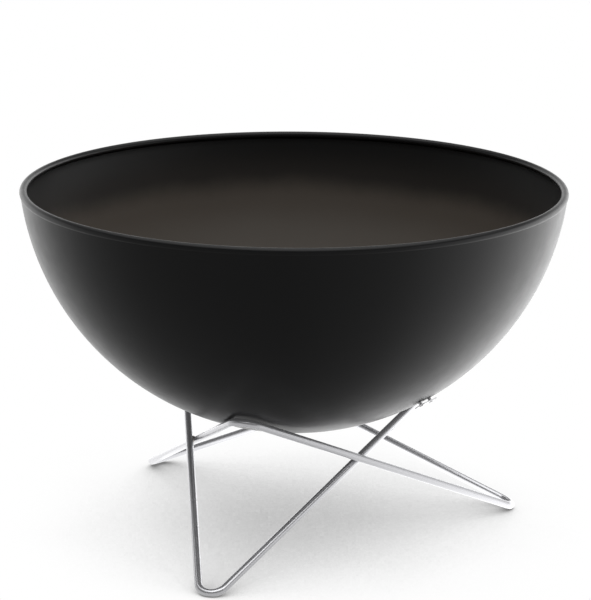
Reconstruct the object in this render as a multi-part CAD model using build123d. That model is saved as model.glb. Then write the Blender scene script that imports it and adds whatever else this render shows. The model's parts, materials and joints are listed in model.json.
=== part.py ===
from build123d import *
import math
import os

# Fire bowl on a bent-rod star stand, with a lift-out fire grate.
# Millimetres. +Z is up, z = 0 is the floor and the Z axis is the bowl's axis.

# ---------------------------------------------------------------- bowl
BOWL_DIAMETER = 570.0        # over the rolled rim
BOWL_DEPTH = 258.2           # outside, from the top of the rim to the lowest point
STEEL_THICKNESS = 2.0        # enamelled sheet
BEAD_DIAMETER = 8.0          # rolled rim
BEAD_PROUD = 0.8             # how far the bead stands out past the wall beside it
CURL_GAP = 1.2               # slot left where the rolled edge comes back to the wall
CURL_GAP_ANGLE = 215.0       # direction of that slot round the bead, from straight out

# ---------------------------------------------------------------- badge
BADGE_WIDTH = 28.0
BADGE_HEIGHT = 14.0
BADGE_THICKNESS = 1.2
BADGE_CORNER = 2.5
BADGE_STANDOFF = 2.6         # gap between the bowl and the back of the plate
BADGE_STUD_DIAMETER = 4.0
BADGE_STUD_SPACING = 18.0
BADGE_HEAD_DIAMETER = 5.0    # stud heads on the plate's face
BADGE_HEAD_HEIGHT = 0.8
BADGE_AZIMUTH = -34.5        # round the bowl, from +X
BADGE_POLAR = 35.0           # up the bowl's flank, from its lowest point

# ---------------------------------------------------------------- stand
FOOT_COUNT = 3
STAND_ROD_DIAMETER = 8.0
FOOT_CORNER_RADIUS = 265.2   # sharp corners of the rod's centreline, before bending
SEAT_CORNER_RADIUS = 181.8
SEAT_CORNER_RISE = 174.5     # seat corners above foot corners
FOOT_BEND_RADIUS = 15.0      # centreline radii of the bends
SEAT_BEND_RADIUS = 18.0
STAND_HEADING = -108.7       # direction of the first foot and seat, from +X
WELD_SET_DOWN = 0.3          # how far crossing legs are pressed into each other
WELD_BUTTON_DIAMETER = 7.0   # weld metal squeezed out round each crossing
BUTT_DISTANCE = 14.0         # from the end of a seat bend to the butt weld
SEAT_CLEARANCE = 0.3         # between the bowl and the rods it rests in

# ---------------------------------------------------------------- grate
GRATE_DIAMETER = 380.0
GRATE_CLEARANCE = 0.3        # between the hoop's lower edge and the bowl
HOOP_HEIGHT = 24.0
HOOP_THICKNESS = 4.0
HOOP_EDGE_ROUND = 0.8
BAR_DIAMETER = 8.0
BAR_PITCH = 30.0
BAR_MARGIN = 30.0            # least distance from the outermost bar's middle to the hoop
CROSS_BAR_HEIGHT = 12.0
CROSS_BAR_THICKNESS = 5.0
CROSS_BAR_OFFSET = 85.0      # each side of the grate's middle
LOOP_ROD_DIAMETER = 6.0
LOOP_WIDTH = 64.0            # between the centrelines of a loop's legs
LOOP_RISE = 30.0             # loop's centreline above the hoop's top edge
LOOP_BEND_RADIUS = 14.0
LOOP_OVERLAP = 20.0          # length of each leg beside the hoop
WELD_GAP = 0.02              # between round pieces that only touch

# ---------------------------------------------------------------- accuracy
HALVINGS = 50                # steps in the search for the stand's twist
SAMPLES = 4000               # points tried along each rod for the bowl's seat

# ---------------------------------------------------------------- worked out
foot_turn = 360 / FOOT_COUNT
rod_radius = STAND_ROD_DIAMETER / 2
bead_radius = BEAD_DIAMETER / 2
bar_radius = BAR_DIAMETER / 2

# The skin's sphere passes through the lowest point and through the wall beside the bead.
bead_rise = BOWL_DEPTH - bead_radius
wall_radius_at_bead = BOWL_DIAMETER / 2 - BEAD_PROUD
bowl_outer_radius = (wall_radius_at_bead**2 + bead_rise**2) / (2 * bead_rise)
bowl_inner_radius = bowl_outer_radius - STEEL_THICKNESS


def polar_point(radius, degrees, z):
    angle = math.radians(degrees)
    return Vector(radius * math.cos(angle), radius * math.sin(angle), z)


def gap_between_legs(twist):
    """Distance between the centrelines of two legs that cross, as lines."""
    foot = polar_point(FOOT_CORNER_RADIUS, -twist / 2, 0)
    next_seat = polar_point(SEAT_CORNER_RADIUS, foot_turn + twist / 2, SEAT_CORNER_RISE)
    seat = polar_point(SEAT_CORNER_RADIUS, twist / 2, SEAT_CORNER_RISE)
    next_foot = polar_point(FOOT_CORNER_RADIUS, foot_turn - twist / 2, 0)
    across = (next_seat - foot).cross(next_foot - seat).normalized()
    return abs((seat - foot).dot(across))


def twist_for_gap(gap):
    """Turn between the seat corners and the foot corners that leaves this gap."""
    low, high = 0.0, foot_turn / 4
    for _ in range(HALVINGS):
        middle = (low + high) / 2
        if gap_between_legs(middle) < gap:
            low = middle
        else:
            high = middle
    return (low + high) / 2


# Legs cross one rod apart, less the set-down of the weld.
twist = twist_for_gap(STAND_ROD_DIAMETER - WELD_SET_DOWN)


def foot_corner(i):
    return polar_point(FOOT_CORNER_RADIUS, STAND_HEADING + foot_turn * i - twist / 2, 0)


def seat_corner(i):
    return polar_point(SEAT_CORNER_RADIUS, STAND_HEADING + foot_turn * i + twist / 2, SEAT_CORNER_RISE)


def butt_point(i):
    """Where two rods meet, on the leg that rises to seat i, just below its bend."""
    corner = seat_corner(i)
    along = (foot_corner(i - 1) - corner).normalized()
    other = (foot_corner(i + 1) - corner).normalized()
    half_angle = math.radians(along.get_angle(other) / 2)
    return corner + along * (SEAT_BEND_RADIUS / math.tan(half_angle) + BUTT_DISTANCE)


def rod_centreline(i):
    """One rod: up to seat i + 1 on one side of foot i, round seat i - 1 on the other."""
    return FilletPolyline(
        butt_point(i + 1), foot_corner(i), seat_corner(i - 1), butt_point(i - 1),
        radius=[FOOT_BEND_RADIUS, SEAT_BEND_RADIUS],
    )


# The stand is lifted until the foot bends touch the floor.
flat_centrelines = [rod_centreline(i) for i in range(FOOT_COUNT)]
stand_lift = rod_radius - min(line.bounding_box().min.Z for line in flat_centrelines)
centrelines = [line.moved(Location((0, 0, stand_lift))) for line in flat_centrelines]

# The bowl comes down its axis until its skin reaches the rods.
reach = bowl_outer_radius + rod_radius + SEAT_CLEARANCE
samples = [step / SAMPLES for step in range(SAMPLES + 1)]
bowl_centre_z = max(
    point.Z + math.sqrt(max(reach**2 - point.X**2 - point.Y**2, 0.0))
    for line in centrelines
    for point in line.positions(samples)
)
bowl_bottom = bowl_centre_z - bowl_outer_radius
bead_centre = (BOWL_DIAMETER / 2 - bead_radius, bowl_bottom + bead_rise)

# The grate's hoop goes down until its lower edge reaches the bowl's inner skin.
hoop_radius = GRATE_DIAMETER / 2
hoop_inner_radius = hoop_radius - HOOP_THICKNESS
hoop_bottom = bowl_centre_z - math.sqrt((bowl_inner_radius - GRATE_CLEARANCE) ** 2 - hoop_radius**2)
hoop_top = hoop_bottom + HOOP_HEIGHT
bar_z = hoop_top - bar_radius
cross_bar_top = bar_z - bar_radius
bars_each_side = int((hoop_inner_radius - BAR_MARGIN) / BAR_PITCH)


# ---------------------------------------------------------------- bowl pieces
def bowl_shell():
    """Spherical cap with its edge rolled inward into an open bead."""
    ring = Pos(0, bowl_centre_z) * (Circle(bowl_outer_radius) - Circle(bowl_inner_radius))
    below_bead = Pos(0, bowl_bottom) * Rectangle(bowl_outer_radius, bead_rise, align=(Align.MIN, Align.MIN))
    wall = ring & below_bead
    bead = Pos(*bead_centre)
    slot = Rot(0, 0, CURL_GAP_ANGLE) * Rectangle(BEAD_DIAMETER, CURL_GAP, align=(Align.MIN, Align.CENTER))
    profile = wall + bead * Circle(bead_radius)
    profile -= bead * Circle(bead_radius - STEEL_THICKNESS)
    profile -= bead * slot
    return revolve(Plane.XZ * profile, Axis.Z, 360)


def badge_plane():
    """Plane on the bowl's flank: origin on the skin, X across, Y up the flank, Z outward."""
    polar = math.radians(BADGE_POLAR)
    outward = polar_point(math.sin(polar), BADGE_AZIMUTH, -math.cos(polar))
    across = polar_point(1, BADGE_AZIMUTH + 90, 0)
    origin = Vector(0, 0, bowl_centre_z) + outward * bowl_outer_radius
    return Plane(origin=origin, x_dir=across, z_dir=outward)


def badge_plate():
    """Blank name plate, flat, held off the bowl by two studs."""
    face = RectangleRounded(BADGE_WIDTH, BADGE_HEIGHT, BADGE_CORNER)
    plate = extrude(Pos(0, 0, BADGE_STANDOFF) * face, BADGE_THICKNESS)
    for x in (-BADGE_STUD_SPACING / 2, BADGE_STUD_SPACING / 2):
        plate -= Pos(x, 0, BADGE_STANDOFF) * Cylinder(BADGE_STUD_DIAMETER / 2, 2 * BADGE_THICKNESS)
    return badge_plane() * plate


def badge_studs():
    """Two welded studs with domed heads that hold the plate."""
    skin = Pos(0, 0, -bowl_outer_radius) * Sphere(bowl_outer_radius)
    plate_face = BADGE_STANDOFF + BADGE_THICKNESS
    studs = []
    for x in (-BADGE_STUD_SPACING / 2, BADGE_STUD_SPACING / 2):
        shank = Pos(x, 0, -BADGE_THICKNESS) * Cylinder(
            BADGE_STUD_DIAMETER / 2, plate_face + BADGE_THICKNESS,
            align=(Align.CENTER, Align.CENTER, Align.MIN),
        )
        head = Pos(x, 0, plate_face) * Cylinder(
            BADGE_HEAD_DIAMETER / 2, BADGE_HEAD_HEIGHT, align=(Align.CENTER, Align.CENTER, Align.MIN)
        )
        head = fillet(head.edges().group_by(Axis.Z)[-1], BADGE_HEAD_HEIGHT / 2)
        studs.append(badge_plane() * ((shank - skin) + head))
    return studs


# ---------------------------------------------------------------- stand pieces
def swept_rod(centreline, radius):
    start = centreline.edges()[0]
    section = Plane(origin=start @ 0, z_dir=start % 0) * Circle(radius)
    return sweep(section, path=centreline)


def stand_rods(round_rods):
    """Three alike rods; each outer leg lies in a shallow notch in the leg it crosses."""
    return [round_rods[i] - round_rods[(i + 1) % FOOT_COUNT] for i in range(FOOT_COUNT)]


def crossing_plane(i):
    """Plane midway between the leg from foot i and the leg to foot i + 1, where they cross."""
    foot, seat = foot_corner(i), seat_corner(i)
    leg_up = seat_corner(i + 1) - foot
    leg_down = foot_corner(i + 1) - seat
    across = leg_up.cross(leg_down)
    t_up = (seat - foot).cross(leg_down).dot(across) / across.dot(across)
    t_down = (seat - foot).cross(leg_up).dot(across) / across.dot(across)
    middle = (foot + leg_up * t_up + seat + leg_down * t_down) * 0.5
    return Plane(origin=middle + Vector(0, 0, stand_lift), x_dir=leg_up, z_dir=across)


def crossing_welds(round_rods):
    """A button of weld metal round each place where two legs touch."""
    welds = []
    for i in range(FOOT_COUNT):
        button = crossing_plane(i) * Cylinder(WELD_BUTTON_DIAMETER / 2, STAND_ROD_DIAMETER)
        welds.append(button - round_rods[i] - round_rods[(i + 1) % FOOT_COUNT])
    return welds


# ---------------------------------------------------------------- grate pieces
def grate_hoop():
    section = Pos((hoop_radius + hoop_inner_radius) / 2, (hoop_bottom + hoop_top) / 2) * RectangleRounded(
        HOOP_THICKNESS, HOOP_HEIGHT, HOOP_EDGE_ROUND
    )
    return revolve(Plane.XZ * section, Axis.Z, 360)


def inside_of_hoop():
    return Pos(0, 0, hoop_bottom) * Cylinder(
        hoop_inner_radius, HOOP_HEIGHT, align=(Align.CENTER, Align.CENTER, Align.MIN)
    )


def grate_bars():
    """Round bars along Y, their ends cut to the inside of the hoop."""
    bars = []
    for k in range(-bars_each_side, bars_each_side + 1):
        bar = Pos(k * BAR_PITCH, 0, bar_z) * Rot(90, 0, 0) * Cylinder(bar_radius, GRATE_DIAMETER)
        bars.append(bar & inside_of_hoop())
    return bars


def grate_cross_bars():
    """Flat bars on edge along X, under the round bars."""
    bars = []
    for y in (-CROSS_BAR_OFFSET, CROSS_BAR_OFFSET):
        bar = Pos(0, y, cross_bar_top) * Box(
            GRATE_DIAMETER, CROSS_BAR_THICKNESS, CROSS_BAR_HEIGHT,
            align=(Align.CENTER, Align.CENTER, Align.MAX),
        )
        bars.append(bar & inside_of_hoop())
    return bars


def lifting_loops():
    """Two upright loops welded to the inside of the hoop, on the X axis."""
    loop_radius = LOOP_ROD_DIAMETER / 2
    half_width = LOOP_WIDTH / 2
    leg_x = math.sqrt((hoop_inner_radius - loop_radius - WELD_GAP) ** 2 - half_width**2)
    foot_z, top_z = hoop_top - LOOP_OVERLAP, hoop_top + LOOP_RISE
    centreline = FilletPolyline(
        (leg_x, -half_width, foot_z), (leg_x, -half_width, top_z),
        (leg_x, half_width, top_z), (leg_x, half_width, foot_z),
        radius=LOOP_BEND_RADIUS,
    )
    loop = swept_rod(centreline, loop_radius)
    return [loop, Rot(0, 0, 180) * loop]


# ---------------------------------------------------------------- write the parts
def write(name, shape):
    solids = shape if isinstance(shape, list) else [shape]
    pieces = [solid for item in solids for solid in item.solids()]
    export_step(pieces[0] if len(pieces) == 1 else Compound(children=pieces), f"parts/{name}.step")


os.makedirs("parts", exist_ok=True)
write("bowl_shell", bowl_shell())
write("badge_plate", badge_plate())
write("badge_studs", badge_studs())

round_rods = [swept_rod(line, rod_radius) for line in centrelines]
for number, rod in enumerate(stand_rods(round_rods), start=1):
    write(f"stand_rod_{number}", rod)
write("crossing_welds", crossing_welds(round_rods))

write("grate_hoop", grate_hoop())
for number, bar in enumerate(grate_bars(), start=1):
    write(f"grate_bar_{number:02d}", bar)
for number, bar in enumerate(grate_cross_bars(), start=1):
    write(f"grate_cross_bar_{number}", bar)
for number, loop in enumerate(lifting_loops(), start=1):
    write(f"grate_lifting_loop_{number}", loop)

print(f"bowl skin radius {bowl_outer_radius:.2f}, centre z {bowl_centre_z:.2f}, bottom z {bowl_bottom:.2f}")
print(f"rim z {bowl_bottom + BOWL_DEPTH:.2f}, twist {twist:.3f} deg, hoop z {hoop_bottom:.2f} to {hoop_top:.2f}")
for line in centrelines:
    print(f"stand rod centreline {line.length:.1f} mm, volume {line.length * math.pi * rod_radius**2:.0f} mm3")
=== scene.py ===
import json
import math
import random

import bpy
from mathutils import Matrix, Quaternion, Vector

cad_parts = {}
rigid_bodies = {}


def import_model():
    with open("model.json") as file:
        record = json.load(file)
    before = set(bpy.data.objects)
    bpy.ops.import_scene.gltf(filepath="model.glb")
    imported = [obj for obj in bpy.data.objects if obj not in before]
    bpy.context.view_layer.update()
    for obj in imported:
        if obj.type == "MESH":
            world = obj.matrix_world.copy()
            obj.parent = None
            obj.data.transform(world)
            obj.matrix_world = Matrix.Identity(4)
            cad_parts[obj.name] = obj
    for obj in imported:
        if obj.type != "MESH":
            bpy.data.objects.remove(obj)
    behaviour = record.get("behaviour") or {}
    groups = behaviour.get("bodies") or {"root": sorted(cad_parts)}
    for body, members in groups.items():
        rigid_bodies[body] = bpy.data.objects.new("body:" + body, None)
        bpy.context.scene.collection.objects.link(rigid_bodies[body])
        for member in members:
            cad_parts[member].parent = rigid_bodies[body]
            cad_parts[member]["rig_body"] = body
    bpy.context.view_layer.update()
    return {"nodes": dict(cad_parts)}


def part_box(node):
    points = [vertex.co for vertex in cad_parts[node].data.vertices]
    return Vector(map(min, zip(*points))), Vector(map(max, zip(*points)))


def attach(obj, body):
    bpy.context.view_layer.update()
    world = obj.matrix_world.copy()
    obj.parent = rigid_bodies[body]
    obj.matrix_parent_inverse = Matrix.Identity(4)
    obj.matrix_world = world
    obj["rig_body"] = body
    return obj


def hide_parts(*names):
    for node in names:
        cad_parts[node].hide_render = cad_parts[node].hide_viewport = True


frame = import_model()
nodes = frame["nodes"]
scene = bpy.context.scene

# ---------------------------------------------------------------- sizes, from the frame
rim_low, rim_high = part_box("bowl_shell")
hoop_low, hoop_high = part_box("grate_hoop")
RIM_RADIUS = rim_high.x
RIM_TOP = rim_high.z
BOWL_BOTTOM = rim_low.z
BEAD_RADIUS = 0.004                  # of the rolled edge
BEAD_PROUD = 0.0008                  # how far the rolled edge stands out from the wall
SHEET = 0.002


# ---------------------------------------------------------------- node helpers
def new_material(name):
    material = bpy.data.materials.new(name)
    material.use_nodes = True
    tree = material.node_tree
    return material, tree, tree.nodes["Principled BSDF"]


def add(tree, kind, **settings):
    """A node of this kind; a setting that names an attribute fills it, and any other is a socket."""
    node = tree.nodes.new(kind)
    for key, value in settings.items():
        if hasattr(node, key):
            setattr(node, key, value)
        else:
            node.inputs[key.replace("_", " ")].default_value = value
    return node


def ramp(tree, source, stops, interpolation="LINEAR"):
    """A colour ramp fed by source, through these (position, value or colour) stops."""
    node = tree.nodes.new("ShaderNodeValToRGB")
    node.color_ramp.interpolation = interpolation
    elements = node.color_ramp.elements
    while len(elements) < len(stops):
        elements.new(0.5)
    for element, (position, value) in zip(elements, stops):
        element.position = position
        colour = value if hasattr(value, "__len__") else (value, value, value)
        element.color = (*colour, 1.0)
    tree.links.new(source, node.inputs["Fac"])
    return node.outputs["Color"]


def noise(tree, vector, scale, detail=2.0, roughness=0.5):
    node = add(tree, "ShaderNodeTexNoise", Scale=scale, Detail=detail, Roughness=roughness)
    tree.links.new(vector, node.inputs["Vector"])
    return node.outputs["Fac"]


def math_node(tree, operation, *values):
    node = add(tree, "ShaderNodeMath", operation=operation)
    for socket, value in zip(node.inputs, values):
        if isinstance(value, (int, float)):
            socket.default_value = value
        else:
            tree.links.new(value, socket)
    return node.outputs["Value"]


def remap(tree, source, low, high, to_low=0.0, to_high=1.0):
    """Source, from the range low to high, to the range to_low to to_high, and held at its ends."""
    node = add(tree, "ShaderNodeMapRange", From_Min=low, From_Max=high, To_Min=to_low, To_Max=to_high)
    tree.links.new(source, node.inputs["Value"])
    return node.outputs["Result"]


def mix(tree, kind, factor, first, second, **settings):
    """A Mix node of kind Color or Float, each input a number, a colour or another node's output."""
    data_type = {"Color": "RGBA", "Float": "FLOAT"}[kind]
    node = add(tree, "ShaderNodeMix", data_type=data_type, **settings)
    for identifier, value in (("Factor_Float", factor), (f"A_{kind}", first), (f"B_{kind}", second)):
        socket = next(s for s in node.inputs if s.identifier == identifier)
        if isinstance(value, tuple):
            socket.default_value = (*value, 1.0)
        elif isinstance(value, (int, float)):
            socket.default_value = value
        else:
            tree.links.new(value, socket)
    return next(s for s in node.outputs if s.identifier == f"Result_{kind}")


def mix_colour(tree, factor, first, second, blend="MIX"):
    return mix(tree, "Color", factor, first, second, blend_type=blend)


def bump(tree, shader, height, strength, distance):
    node = add(tree, "ShaderNodeBump", Strength=strength, Distance=distance)
    tree.links.new(height, node.inputs["Height"])
    tree.links.new(node.outputs["Normal"], shader.inputs["Normal"])


def object_place(tree):
    """Position in the object's own coordinates, and its three parts."""
    place = add(tree, "ShaderNodeTexCoord").outputs["Object"]
    parts = tree.nodes.new("ShaderNodeSeparateXYZ")
    tree.links.new(place, parts.inputs[0])
    return place, parts.outputs["X"], parts.outputs["Y"], parts.outputs["Z"]


def hypotenuse(tree, first, second):
    squares = [math_node(tree, "POWER", side, 2) for side in (first, second)]
    return math_node(tree, "SQRT", math_node(tree, "ADD", *squares))


def cover(node_names, material):
    for name in node_names:
        mesh = nodes[name].data
        mesh.materials.clear()
        mesh.materials.append(material)


# ---------------------------------------------------------------- mesh helpers
def mesh_object(name, points, faces, material, smooth=True):
    mesh = bpy.data.meshes.new(name)
    mesh.from_pydata(points, [], faces)
    mesh.validate()
    mesh.polygons.foreach_set("use_smooth", [smooth] * len(mesh.polygons))
    mesh.materials.append(material)
    mesh.update()
    made = bpy.data.objects.new(name, mesh)
    scene.collection.objects.link(made)
    return made


def turned(name, profile, segments, material):
    """The surface that this (radius, height) profile sweeps; a point on the axis is shared."""
    points, rows = [], []
    for radius, z in profile:
        if radius < 1e-6:
            rows.append([len(points)] * segments)
            points.append((0.0, 0.0, z))
            continue
        rows.append([len(points) + k for k in range(segments)])
        for k in range(segments):
            angle = math.tau * k / segments
            points.append((radius * math.cos(angle), radius * math.sin(angle), z))
    faces = []
    for row, next_row in zip(rows, rows[1:]):
        for k in range(segments):
            after = (k + 1) % segments
            corners = [row[k], row[after], next_row[after], next_row[k]]
            faces.append(list(dict.fromkeys(corners)))
    return mesh_object(name, points, faces, material)


def arc(centre, radius, start, end, steps):
    """Points on an arc in the (radius, height) plane, from start to end in radians."""
    angles = [start + (end - start) * k / steps for k in range(steps + 1)]
    return [(centre[0] + radius * math.cos(a), centre[1] + radius * math.sin(a)) for a in angles]


def filleted(corners, radii, steps):
    """A path through these corners, each inner one rounded by an arc of its radius."""
    path = [corners[0]]
    for before, corner, after, radius in zip(corners, corners[1:], corners[2:], radii):
        back, on = (before - corner).normalized(), (after - corner).normalized()
        half = back.angle(on) / 2
        centre = corner + (back + on).normalized() * radius / math.sin(half)
        start = corner + back * radius / math.tan(half) - centre
        end = corner + on * radius / math.tan(half) - centre
        path += [centre + part_way_round(start, end, k / steps) for k in range(steps + 1)]
    return path + [corners[-1]]


def part_way_round(start, end, share):
    """The vector this share of the way round from start to end, which are equally long."""
    return Quaternion(start.cross(end).normalized(), start.angle(end) * share) @ start


def swept(path, radius, sides):
    """Points and faces of a round rod along a path; radius is one number, or one for each point."""
    radii = radius if hasattr(radius, "__len__") else [radius] * len(path)
    points, faces = [], []
    tangent = (path[1] - path[0]).normalized()
    across = tangent.orthogonal().normalized()
    for k, (place, size) in enumerate(zip(path, radii)):
        ahead = path[min(k + 1, len(path) - 1)] - path[max(k - 1, 0)]
        across = across.copy()
        across.rotate(tangent.rotation_difference(ahead.normalized()))
        tangent = ahead.normalized()
        other = tangent.cross(across)
        for j in range(sides):
            turn = math.tau * j / sides
            points.append(place + (across * math.cos(turn) + other * math.sin(turn)) * size)
    for k in range(len(path) - 1):
        for j in range(sides):
            a, b = k * sides + j, k * sides + (j + 1) % sides
            faces.append((a, b, b + sides, a + sides))
    faces.append(tuple(reversed(range(sides))))
    faces.append(tuple(range(len(points) - sides, len(points))))
    return points, faces


# ---------------------------------------------------------------- enamel
TINT_AND_GLOW_STARTS, TINT_AND_GLOW_FULL = 0.010, 0.045          # depths below the rim where the inside's colour fades in: fire's heat tint with a painted glow of the fire's light
DUST_AND_GLOW_DEPTH = 0.100                             # depth below the rim where the dust and the painted firelight glow are at their strongest
CLOUD_DEPTH = 0.020                            # how far clouds move the tint and the painted glow up and down


def enamel():
    """Satin black stove enamel: fine orange peel outside; inside, dulled by fire and browner and lighter
    with depth, partly heat tint and ash, partly a painted glow of the fire's light.
    """
    material, tree, shader = new_material("enamel")
    place, x, y, z = object_place(tree)
    clouds = noise(tree, place, 9.0, 5.0, 0.6)
    fine = noise(tree, place, 60.0, 3.0, 0.55)

    # Inside is where the surface lies at the inner face of the sheet; it fades in below the bead.
    from_centre = hypotenuse(tree, hypotenuse(tree, x, y), math_node(tree, "SUBTRACT", z, SPHERE_CENTRE[1]))
    inner_face = SPHERE_RADIUS - SHEET + 0.0005
    inside = math_node(tree, "MULTIPLY", remap(tree, from_centre, inner_face + 0.0001, inner_face - 0.0001),
                       remap(tree, z, RIM_TOP - TINT_AND_GLOW_STARTS, RIM_TOP - TINT_AND_GLOW_FULL))

    # Browner and lighter with depth below the rim: partly dust and heat tint, partly a painted glow of the
    # fire's light.
    cloudy_height = math_node(tree, "ADD", z, math_node(tree, "MULTIPLY", clouds, CLOUD_DEPTH))
    depth = math_node(tree, "MULTIPLY", math_node(tree, "SUBTRACT", RIM_TOP, cloudy_height), 1 / DUST_AND_GLOW_DEPTH)
    dust_and_painted_glow = ramp(tree, depth, [
        (0.0, (0.012, 0.010, 0.008)), (0.35, (0.020, 0.016, 0.013)),
        (0.65, (0.105, 0.087, 0.070)), (1.0, (0.125, 0.108, 0.090)),
    ], "EASE")
    outside = mix_colour(tree, clouds, (0.0035, 0.0035, 0.0038), (0.0055, 0.0055, 0.0060))
    tree.links.new(mix_colour(tree, inside, outside, dust_and_painted_glow), shader.inputs["Base Color"])

    outer_gloss = remap(tree, fine, 0.3, 0.7, 0.33, 0.37)
    inner_gloss = remap(tree, clouds, 0.3, 0.7, 0.50, 0.60)
    tree.links.new(mix(tree, "Float", inside, outer_gloss, inner_gloss), shader.inputs["Roughness"])
    shader.inputs["Specular IOR Level"].default_value = 0.4

    peel = noise(tree, place, 420.0, 2.0)
    bump(tree, shader, peel, 0.05, 0.0004)
    return material


# ---------------------------------------------------------------- stainless
def stainless(name, colour, roughness):
    """Satin stainless: a slightly uneven shine, with the grey bloom of a brushed finish."""
    material, tree, shader = new_material(name)
    place = object_place(tree)[0]
    shader.inputs["Metallic"].default_value = 0.75
    clouds = noise(tree, place, 25.0, 4.0)
    darker = tuple(c * 0.9 for c in colour)
    tree.links.new(mix_colour(tree, clouds, darker, colour), shader.inputs["Base Color"])
    gloss = remap(tree, clouds, 0.3, 0.7, roughness - 0.04, roughness + 0.04)
    tree.links.new(gloss, shader.inputs["Roughness"])
    return material


def weld_metal():
    """Weld metal with a straw and blue heat tint."""
    material, tree, shader = new_material("weld_metal")
    place = object_place(tree)[0]
    shader.inputs["Metallic"].default_value = 1.0
    tint = ramp(tree, noise(tree, place, 160.0, 3.0), [
        (0.30, (0.50, 0.42, 0.30)), (0.50, (0.62, 0.58, 0.52)),
        (0.62, (0.46, 0.46, 0.52)), (0.75, (0.58, 0.57, 0.56)),
    ])
    tree.links.new(tint, shader.inputs["Base Color"])
    shader.inputs["Roughness"].default_value = 0.38
    bump(tree, shader, noise(tree, place, 700.0, 3.0), 0.3, 0.0004)
    return material


# ---------------------------------------------------------------- grate steel
def grate_steel():
    """Dark mill scale, browned by heat, with ash dust on what faces up."""
    material, tree, shader = new_material("grate_steel")
    place = object_place(tree)[0]
    shader.inputs["Metallic"].default_value = 0.35
    patches = noise(tree, place, 38.0, 6.0, 0.65)
    colour = ramp(tree, patches, [
        (0.30, (0.028, 0.026, 0.027)), (0.48, (0.050, 0.043, 0.038)),
        (0.60, (0.095, 0.060, 0.038)), (0.75, (0.060, 0.052, 0.047)),
    ])
    normal = tree.nodes.new("ShaderNodeSeparateXYZ")
    tree.links.new(add(tree, "ShaderNodeNewGeometry").outputs["Normal"], normal.inputs[0])
    faces_up = remap(tree, normal.outputs["Z"], 0.35, 0.95)
    drifts = remap(tree, noise(tree, place, 90.0, 5.0), 0.45, 0.62, 0.05, 0.5)
    dust = math_node(tree, "MULTIPLY", faces_up, drifts)
    tree.links.new(mix_colour(tree, dust, colour, (0.17, 0.16, 0.15)), shader.inputs["Base Color"])
    tree.links.new(remap(tree, patches, 0.3, 0.7, 0.50, 0.72), shader.inputs["Roughness"])
    bump(tree, shader, noise(tree, place, 240.0, 5.0, 0.6), 0.35, 0.0006)
    return material


# ---------------------------------------------------------------- bowl
# The skin is part of a sphere through the lowest point and the wall beside the bead.
bead_rise = RIM_TOP - BEAD_RADIUS - BOWL_BOTTOM
SPHERE_RADIUS = ((RIM_RADIUS - BEAD_PROUD) ** 2 + bead_rise**2) / (2 * bead_rise)
SPHERE_CENTRE = (0.0, BOWL_BOTTOM + SPHERE_RADIUS)
BEAD_CENTRE = (RIM_RADIUS - BEAD_RADIUS, RIM_TOP - BEAD_RADIUS)
COVE = 0.0005                        # enamel that fills the creases beside the bead
SLOT, SLOT_ANGLE = 0.0012, math.radians(215)   # the gap where the rolled edge ends
WALL_STEPS, BEAD_STEPS, LIP_STEPS, COVE_STEPS, BOWL_SEGMENTS = 70, 40, 8, 6, 288
CREASE = math.radians(50)            # sharper edges are shaded sharp


def circles_cross(first, first_radius, second, second_radius):
    """Where two circles cross in the (radius, height) plane: the lower of the two points."""
    dx, dz = second[0] - first[0], second[1] - first[1]
    apart = math.hypot(dx, dz)
    along = (apart**2 + first_radius**2 - second_radius**2) / (2 * apart)
    across = math.sqrt(first_radius**2 - along**2)
    return (first[0] + (dx * along + dz * across) / apart, first[1] + (dz * along - dx * across) / apart)


def angle_from(centre, point):
    return math.atan2(point[1] - centre[1], point[0] - centre[0])


def bowl_profile():
    """From the inside's lowest point, up and round the rolled bead, to the outside's lowest point."""
    inner, tube = SPHERE_RADIUS - SHEET, BEAD_RADIUS - SHEET
    down, turn = -math.pi / 2, math.tau

    inner_cove = circles_cross(SPHERE_CENTRE, inner - COVE, BEAD_CENTRE, BEAD_RADIUS + COVE)
    outer_cove = circles_cross(SPHERE_CENTRE, SPHERE_RADIUS + COVE, BEAD_CENTRE, BEAD_RADIUS + COVE)
    inner_end, outer_end = angle_from(SPHERE_CENTRE, inner_cove), angle_from(SPHERE_CENTRE, outer_cove)
    inner_roll, outer_roll = angle_from(BEAD_CENTRE, inner_cove), angle_from(BEAD_CENTRE, outer_cove)
    half_outside, half_inside = math.asin(SLOT / 2 / BEAD_RADIUS), math.asin(SLOT / 2 / tube)

    profile = arc(SPHERE_CENTRE, inner, down, inner_end, WALL_STEPS)
    profile += arc(inner_cove, COVE, inner_end, inner_roll + math.pi, COVE_STEPS)[1:]
    profile += arc(BEAD_CENTRE, BEAD_RADIUS, inner_roll + turn, SLOT_ANGLE + half_outside, LIP_STEPS)[1:]
    profile += arc(BEAD_CENTRE, tube, SLOT_ANGLE + half_inside, SLOT_ANGLE + turn - half_inside, BEAD_STEPS)
    profile += arc(BEAD_CENTRE, BEAD_RADIUS, SLOT_ANGLE - half_outside, outer_roll, BEAD_STEPS)
    profile += arc(outer_cove, COVE, outer_roll + math.pi, outer_end + math.pi, COVE_STEPS)[1:]
    profile += arc(SPHERE_CENTRE, SPHERE_RADIUS, outer_end, down, WALL_STEPS)[1:]
    return profile


def bowl(material):
    made = turned("bowl_skin", bowl_profile(), BOWL_SEGMENTS, material)
    made.data.set_sharp_from_angle(angle=CREASE)
    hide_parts("bowl_shell")
    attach(made, "bowl")


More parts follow.
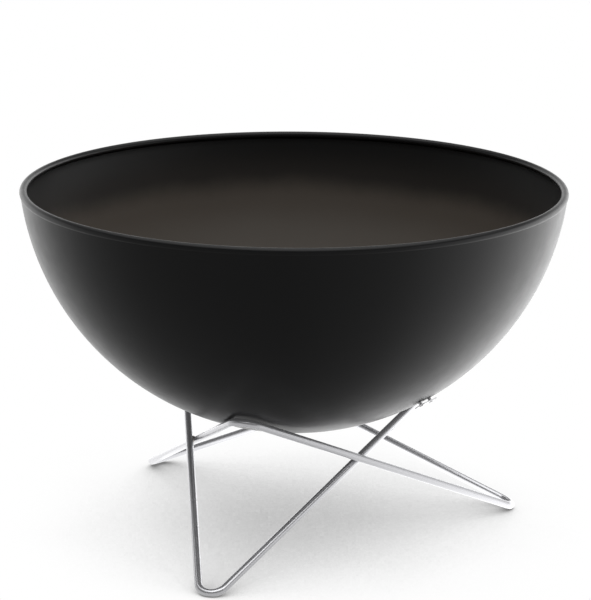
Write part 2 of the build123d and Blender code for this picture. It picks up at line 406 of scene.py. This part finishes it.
# ---------------------------------------------------------------- stand
ROD_RADIUS = 0.004
FOOT_CORNER, SEAT_CORNER = 0.2652, 0.1818      # from the axis, before bending
SEAT_RISE = 0.1745                             # of the seat corners over the foot corners
FOOT_BEND, SEAT_BEND = 0.015, 0.018
BUTT_DISTANCE = 0.014                          # from the end of a seat bend to the butt weld
HEADING, TWIST = math.radians(-108.7), math.radians(2.428)
BEND_STEPS, ROD_SIDES = 28, 40


def corner_point(radius, number, turn, z):
    angle = HEADING + math.tau / 3 * number + turn
    return Vector((radius * math.cos(angle), radius * math.sin(angle), z))


def rod_path(i):
    """Up to seat i + 1 on one side of foot i, and round seat i - 1 on the other."""
    def foot(n):
        return corner_point(FOOT_CORNER, n, -TWIST / 2, 0)

    def seat(n):
        return corner_point(SEAT_CORNER, n, TWIST / 2, SEAT_RISE)

    def butt(n):
        along = (foot(n - 1) - seat(n)).normalized()
        half = along.angle(foot(n + 1) - seat(n)) / 2
        return seat(n) + along * (SEAT_BEND / math.tan(half) + BUTT_DISTANCE)

    path = filleted([butt(i + 1), foot(i), seat(i - 1), butt(i - 1)], [FOOT_BEND, SEAT_BEND], BEND_STEPS)
    lift = Vector((0, 0, ROD_RADIUS - min(p.z for p in path)))
    return [p + lift for p in path]


def rods(material):
    for i in range(3):
        points, faces = swept(rod_path(i), ROD_RADIUS, ROD_SIDES)
        rod = mesh_object(f"rod_{i + 1}", points, faces, material)
        rod.data.set_sharp_from_angle(angle=CREASE)
        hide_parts(f"stand_rod_{i + 1}")
        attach(rod, "stand")


# ---------------------------------------------------------------- grate welds
HOOP_TOP = hoop_high.z
HOOP_WALL = hoop_high.x - 0.004                # inside of the hoop
BAR_RADIUS, LOOP_ROD_RADIUS = 0.004, 0.003
WELD_RADIUS, THIN_WELD_RADIUS = 0.0014, 0.0012
WELD_OUT, WELD_RISE = 0.0004, 0.0006           # of a weld from a cross bar's side face and from its top
BAR_WELD_OFFSET = 0.0031                       # of a weld on a cross bar from the middle of the bar it holds
LOOP_WELD_INSET = 0.0008                       # of a lifting loop's weld from the hoop
WELD_SHORT = 0.001                             # where a weld stops short of an edge
LUMPS, WELD_TAPER, WELD_SIDES = 0.18, 0.55, 8  # unevenness, narrowing at the ends, faces round


class WeldBeads:
    """Lumpy beads of weld metal, gathered into one mesh."""

    def __init__(self, seed):
        self.random = random.Random(seed)
        self.points, self.faces = [], []

    def lay(self, path, radius=WELD_RADIUS):
        radii = [radius * self.random.uniform(1 - LUMPS, 1 + LUMPS) for _ in path]
        radii[0] *= WELD_TAPER
        radii[-1] *= WELD_TAPER
        points, faces = swept(path, radii, WELD_SIDES)
        start = len(self.points)
        self.points += points
        self.faces += [tuple(start + corner for corner in face) for face in faces]


def line(start, end, steps):
    return [start.lerp(end, k / steps) for k in range(steps + 1)]


def hoop_x(y, side):
    """The x of the inside of the hoop at this y, on the +X or the -X side."""
    return side * math.sqrt(HOOP_WALL**2 - y**2)


def on_hoop(x, z, side):
    """Point on the inside of the hoop at this x and z, on the +Y or the -Y side."""
    return Vector((x, side * math.sqrt(HOOP_WALL**2 - x**2), z))


def boxes(prefix):
    """The boxes of the nodes whose names start like this."""
    return [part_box(name) for name in nodes if name.startswith(prefix)]


def weld_bars(beads, cross_bars):
    """Each bar is welded round its underside to the hoop, and on both sides to each cross bar."""
    bar_z = HOOP_TOP - BAR_RADIUS
    reach = BAR_RADIUS + WELD_RADIUS / 2
    around = [math.radians(170 + 20 * k) for k in range(11)]
    for x in sorted((low.x + high.x) / 2 for low, high in boxes("grate_bar_")):
        for side in (-1, 1):
            beads.lay([on_hoop(x + reach * math.cos(a), bar_z + reach * math.sin(a), side) for a in around])
        for low, high in cross_bars:
            for offset in (-BAR_WELD_OFFSET, BAR_WELD_OFFSET):
                weld_x, z = x + offset, high.z + WELD_RISE
                ends = [Vector((weld_x, y, z)) for y in (low.y - WELD_OUT, high.y + WELD_OUT)]
                beads.lay(line(*ends, 4), THIN_WELD_RADIUS)


def weld_cross_bars(beads, cross_bars):
    """Both ends of each cross bar are welded up both faces to the hoop."""
    for low, high in cross_bars:
        for y in (low.y - WELD_OUT, high.y + WELD_OUT):
            for side in (-1, 1):
                x = hoop_x(y, side)
                ends = [Vector((x, y, z)) for z in (low.z + WELD_SHORT, high.z - WELD_SHORT)]
                beads.lay(line(*ends, 7))


def weld_loops(beads):
    """Each leg of a lifting loop is welded down both sides to the hoop."""
    for low, high in boxes("grate_lifting_loop_"):
        side = 1 if low.x > 0 else -1
        for leg_y in (low.y + LOOP_ROD_RADIUS, high.y - LOOP_ROD_RADIUS):
            for y in (leg_y - LOOP_ROD_RADIUS, leg_y + LOOP_ROD_RADIUS):
                x = hoop_x(y, side) - side * LOOP_WELD_INSET
                ends = [Vector((x, y, z)) for z in (low.z + LOOP_ROD_RADIUS, HOOP_TOP - WELD_SHORT)]
                beads.lay(line(*ends, 9), THIN_WELD_RADIUS)


def grate_welds(material):
    beads = WeldBeads(5)
    cross_bars = boxes("grate_cross_bar_")
    weld_bars(beads, cross_bars)
    weld_cross_bars(beads, cross_bars)
    weld_loops(beads)
    welds = mesh_object("grate_welds", beads.points, beads.faces, material)
    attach(welds, "grate")


# ---------------------------------------------------------------- put the materials on
ENAMEL = enamel()
GRATE_STEEL = grate_steel()
STAND_STEEL = stainless("stand_steel", (0.62, 0.62, 0.64), 0.26)
bowl(ENAMEL)
rods(STAND_STEEL)
grate_welds(GRATE_STEEL)
cover(["bowl_shell"], ENAMEL)
cover([n for n in nodes if n.startswith("stand_rod")], STAND_STEEL)
cover(["crossing_welds"], weld_metal())
cover(["badge_plate", "badge_studs"], stainless("badge", (0.75, 0.75, 0.76), 0.3))
cover([n for n in nodes if n.startswith("grate_")], GRATE_STEEL)


# ---------------------------------------------------------------- studio
# How bright the studio is on each side, from straight in front (0) round to straight behind (1).
RIGHT = [
    (0.0, 0.22), (0.22, 0.34), (0.42, 0.90), (0.60, 1.9), (0.78, 2.4), (0.90, 1.6), (1.0, 1.3),
]
LEFT = [
    (0.0, 0.22), (0.35, 0.26), (0.50, 0.42), (0.62, 0.80), (0.75, 1.4), (0.88, 1.8), (1.0, 1.3),
]
OVERHEAD = 1.2
# How white the floor looks, from how much open sky it has within the shade distance.
FLOOR_SHADE = [
    (0.20, 0.20), (0.40, 0.47), (0.46, 0.60), (0.50, 0.68),
    (0.53, 0.79), (0.56, 0.87), (0.63, 0.975), (0.68, 1.0),
]
SHADE_DISTANCE = 0.5
FLOOR_SIZE = 8.0


def direction_light(tree, x, y):
    """The studio's brightness towards (x, y) from the middle."""
    towards_front = math_node(tree, "MULTIPLY", y, -1.0)
    turn = math_node(tree, "DIVIDE", math_node(tree, "ARCTAN2", x, towards_front), math.pi)
    right = ramp(tree, turn, RIGHT)
    left = ramp(tree, math_node(tree, "MULTIPLY", turn, -1.0), LEFT)
    return mix_colour(tree, math_node(tree, "GREATER_THAN", turn, 0.0), left, right)


def seen_or_lit(tree, seen, lit, output):
    """One shader for what the camera sees, and another for the light that falls on the object."""
    path = add(tree, "ShaderNodeLightPath")
    choice = add(tree, "ShaderNodeMixShader")
    tree.links.new(path.outputs["Is Camera Ray"], choice.inputs[0])
    tree.links.new(lit.outputs[0], choice.inputs[1])
    tree.links.new(seen.outputs[0], choice.inputs[2])
    tree.links.new(choice.outputs[0], output.inputs["Surface"])


def floor():
    """White to the camera, with a painted soft shadow, from ambient occlusion, wherever something stands
    close above it; to everything else it glows with the studio's light, with painted shade under the bowl.
    """
    material, tree, shader = new_material("floor")
    tree.nodes.remove(shader)
    half = FLOOR_SIZE / 2
    corners = [(-half, -half, 0), (half, -half, 0), (half, half, 0), (-half, half, 0)]
    plane = mesh_object("floor", corners, [(0, 1, 2, 3)], material, smooth=False)
    x, y = object_place(tree)[1:3]
    open_sky = add(tree, "ShaderNodeAmbientOcclusion", samples=16, Distance=SHADE_DISTANCE)
    shade = ramp(tree, open_sky.outputs["AO"], FLOOR_SHADE)
    seen, lit = add(tree, "ShaderNodeEmission"), add(tree, "ShaderNodeEmission")
    tree.links.new(shade, seen.inputs["Color"])
    # painted shade: the floor's glow is dimmed near the middle, under the bowl
    painted_shade_under_bowl = remap(tree, hypotenuse(tree, x, y), 0.05, 0.40, 0.75, 1.0)
    light = mix_colour(tree, 1.0, direction_light(tree, x, y), painted_shade_under_bowl, "MULTIPLY")
    tree.links.new(light, lit.inputs["Color"])
    seen_or_lit(tree, seen, lit, tree.nodes["Material Output"])


def world():
    """White to the camera; a studio that is dark in front and bright behind to everything else."""
    studio_world = bpy.data.worlds.new("studio")
    scene.world = studio_world
    studio_world.use_nodes = True
    tree = studio_world.node_tree
    tree.nodes.clear()
    parts = tree.nodes.new("ShaderNodeSeparateXYZ")
    tree.links.new(add(tree, "ShaderNodeTexCoord").outputs["Generated"], parts.inputs[0])
    overhead = ramp(tree, parts.outputs["Z"], [(0.5, 0.0), (0.9, OVERHEAD)], "EASE")
    above_walls = ramp(tree, parts.outputs["Z"], [(0.15, 0.0), (0.5, 1.0)])
    walls = direction_light(tree, parts.outputs["X"], parts.outputs["Y"])
    around = mix_colour(tree, above_walls, walls, (0.0, 0.0, 0.0))
    seen, lit = add(tree, "ShaderNodeBackground"), add(tree, "ShaderNodeBackground")
    seen.inputs["Color"].default_value = (1, 1, 1, 1)
    tree.links.new(mix_colour(tree, 1.0, around, overhead, "ADD"), lit.inputs["Color"])
    seen_or_lit(tree, seen, lit, add(tree, "ShaderNodeOutputWorld"))


def stand_light(name, place, turn, size, brightness):
    """A soft panel that lights the stand and the badge alone, and that only they can shade."""
    light = bpy.data.lights.new(name, "AREA")
    light.shape = "RECTANGLE"
    light.size, light.size_y = size
    light.energy = brightness * math.pi * size[0] * size[1]
    lamp = bpy.data.objects.new(name, light)
    scene.collection.objects.link(lamp)
    lamp.location = place
    lamp.rotation_euler = (turn, 0, 0)
    lamp.visible_camera = False
    lit = bpy.data.collections.new(name)
    for piece in bpy.data.objects:
        if piece.type == "MESH" and (piece.get("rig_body") == "stand" or piece.name.startswith("badge_")):
            lit.objects.link(piece)
    lamp.light_linking.receiver_collection = lit
    lamp.light_linking.blocker_collection = lit


floor()
world()
stand_light("floor_bounce", (0.05, -0.35, 0.001), math.pi, (1.3, 1.0), 0.50)
stand_light("overhead_panel", (0.4, -0.9, 1.5), 0.0, (2.6, 1.8), 1.0)


# ---------------------------------------------------------------- camera
CAMERA_DISTANCE, CAMERA_HEIGHT = 2.597, 0.938
PITCH, YAW, ROLL = math.radians(14.95), math.radians(0.046), math.radians(0.325)
FOCAL_LENGTH = 152.9                 # on a 36 mm sensor


def camera():
    data = bpy.data.cameras.new("camera")
    data.lens = FOCAL_LENGTH
    data.clip_end = 100
    eye = bpy.data.objects.new("camera", data)
    scene.collection.objects.link(eye)
    heading = Matrix.Rotation(-YAW, 4, "Z")
    tilt = Matrix.Rotation(math.pi / 2 - PITCH, 4, "X")
    roll = Matrix.Rotation(ROLL, 4, "Z")
    eye.matrix_world = Matrix.Translation((0, -CAMERA_DISTANCE, CAMERA_HEIGHT)) @ heading @ tilt @ roll
    scene.camera = eye


camera()
scene.view_settings.view_transform = "Standard"
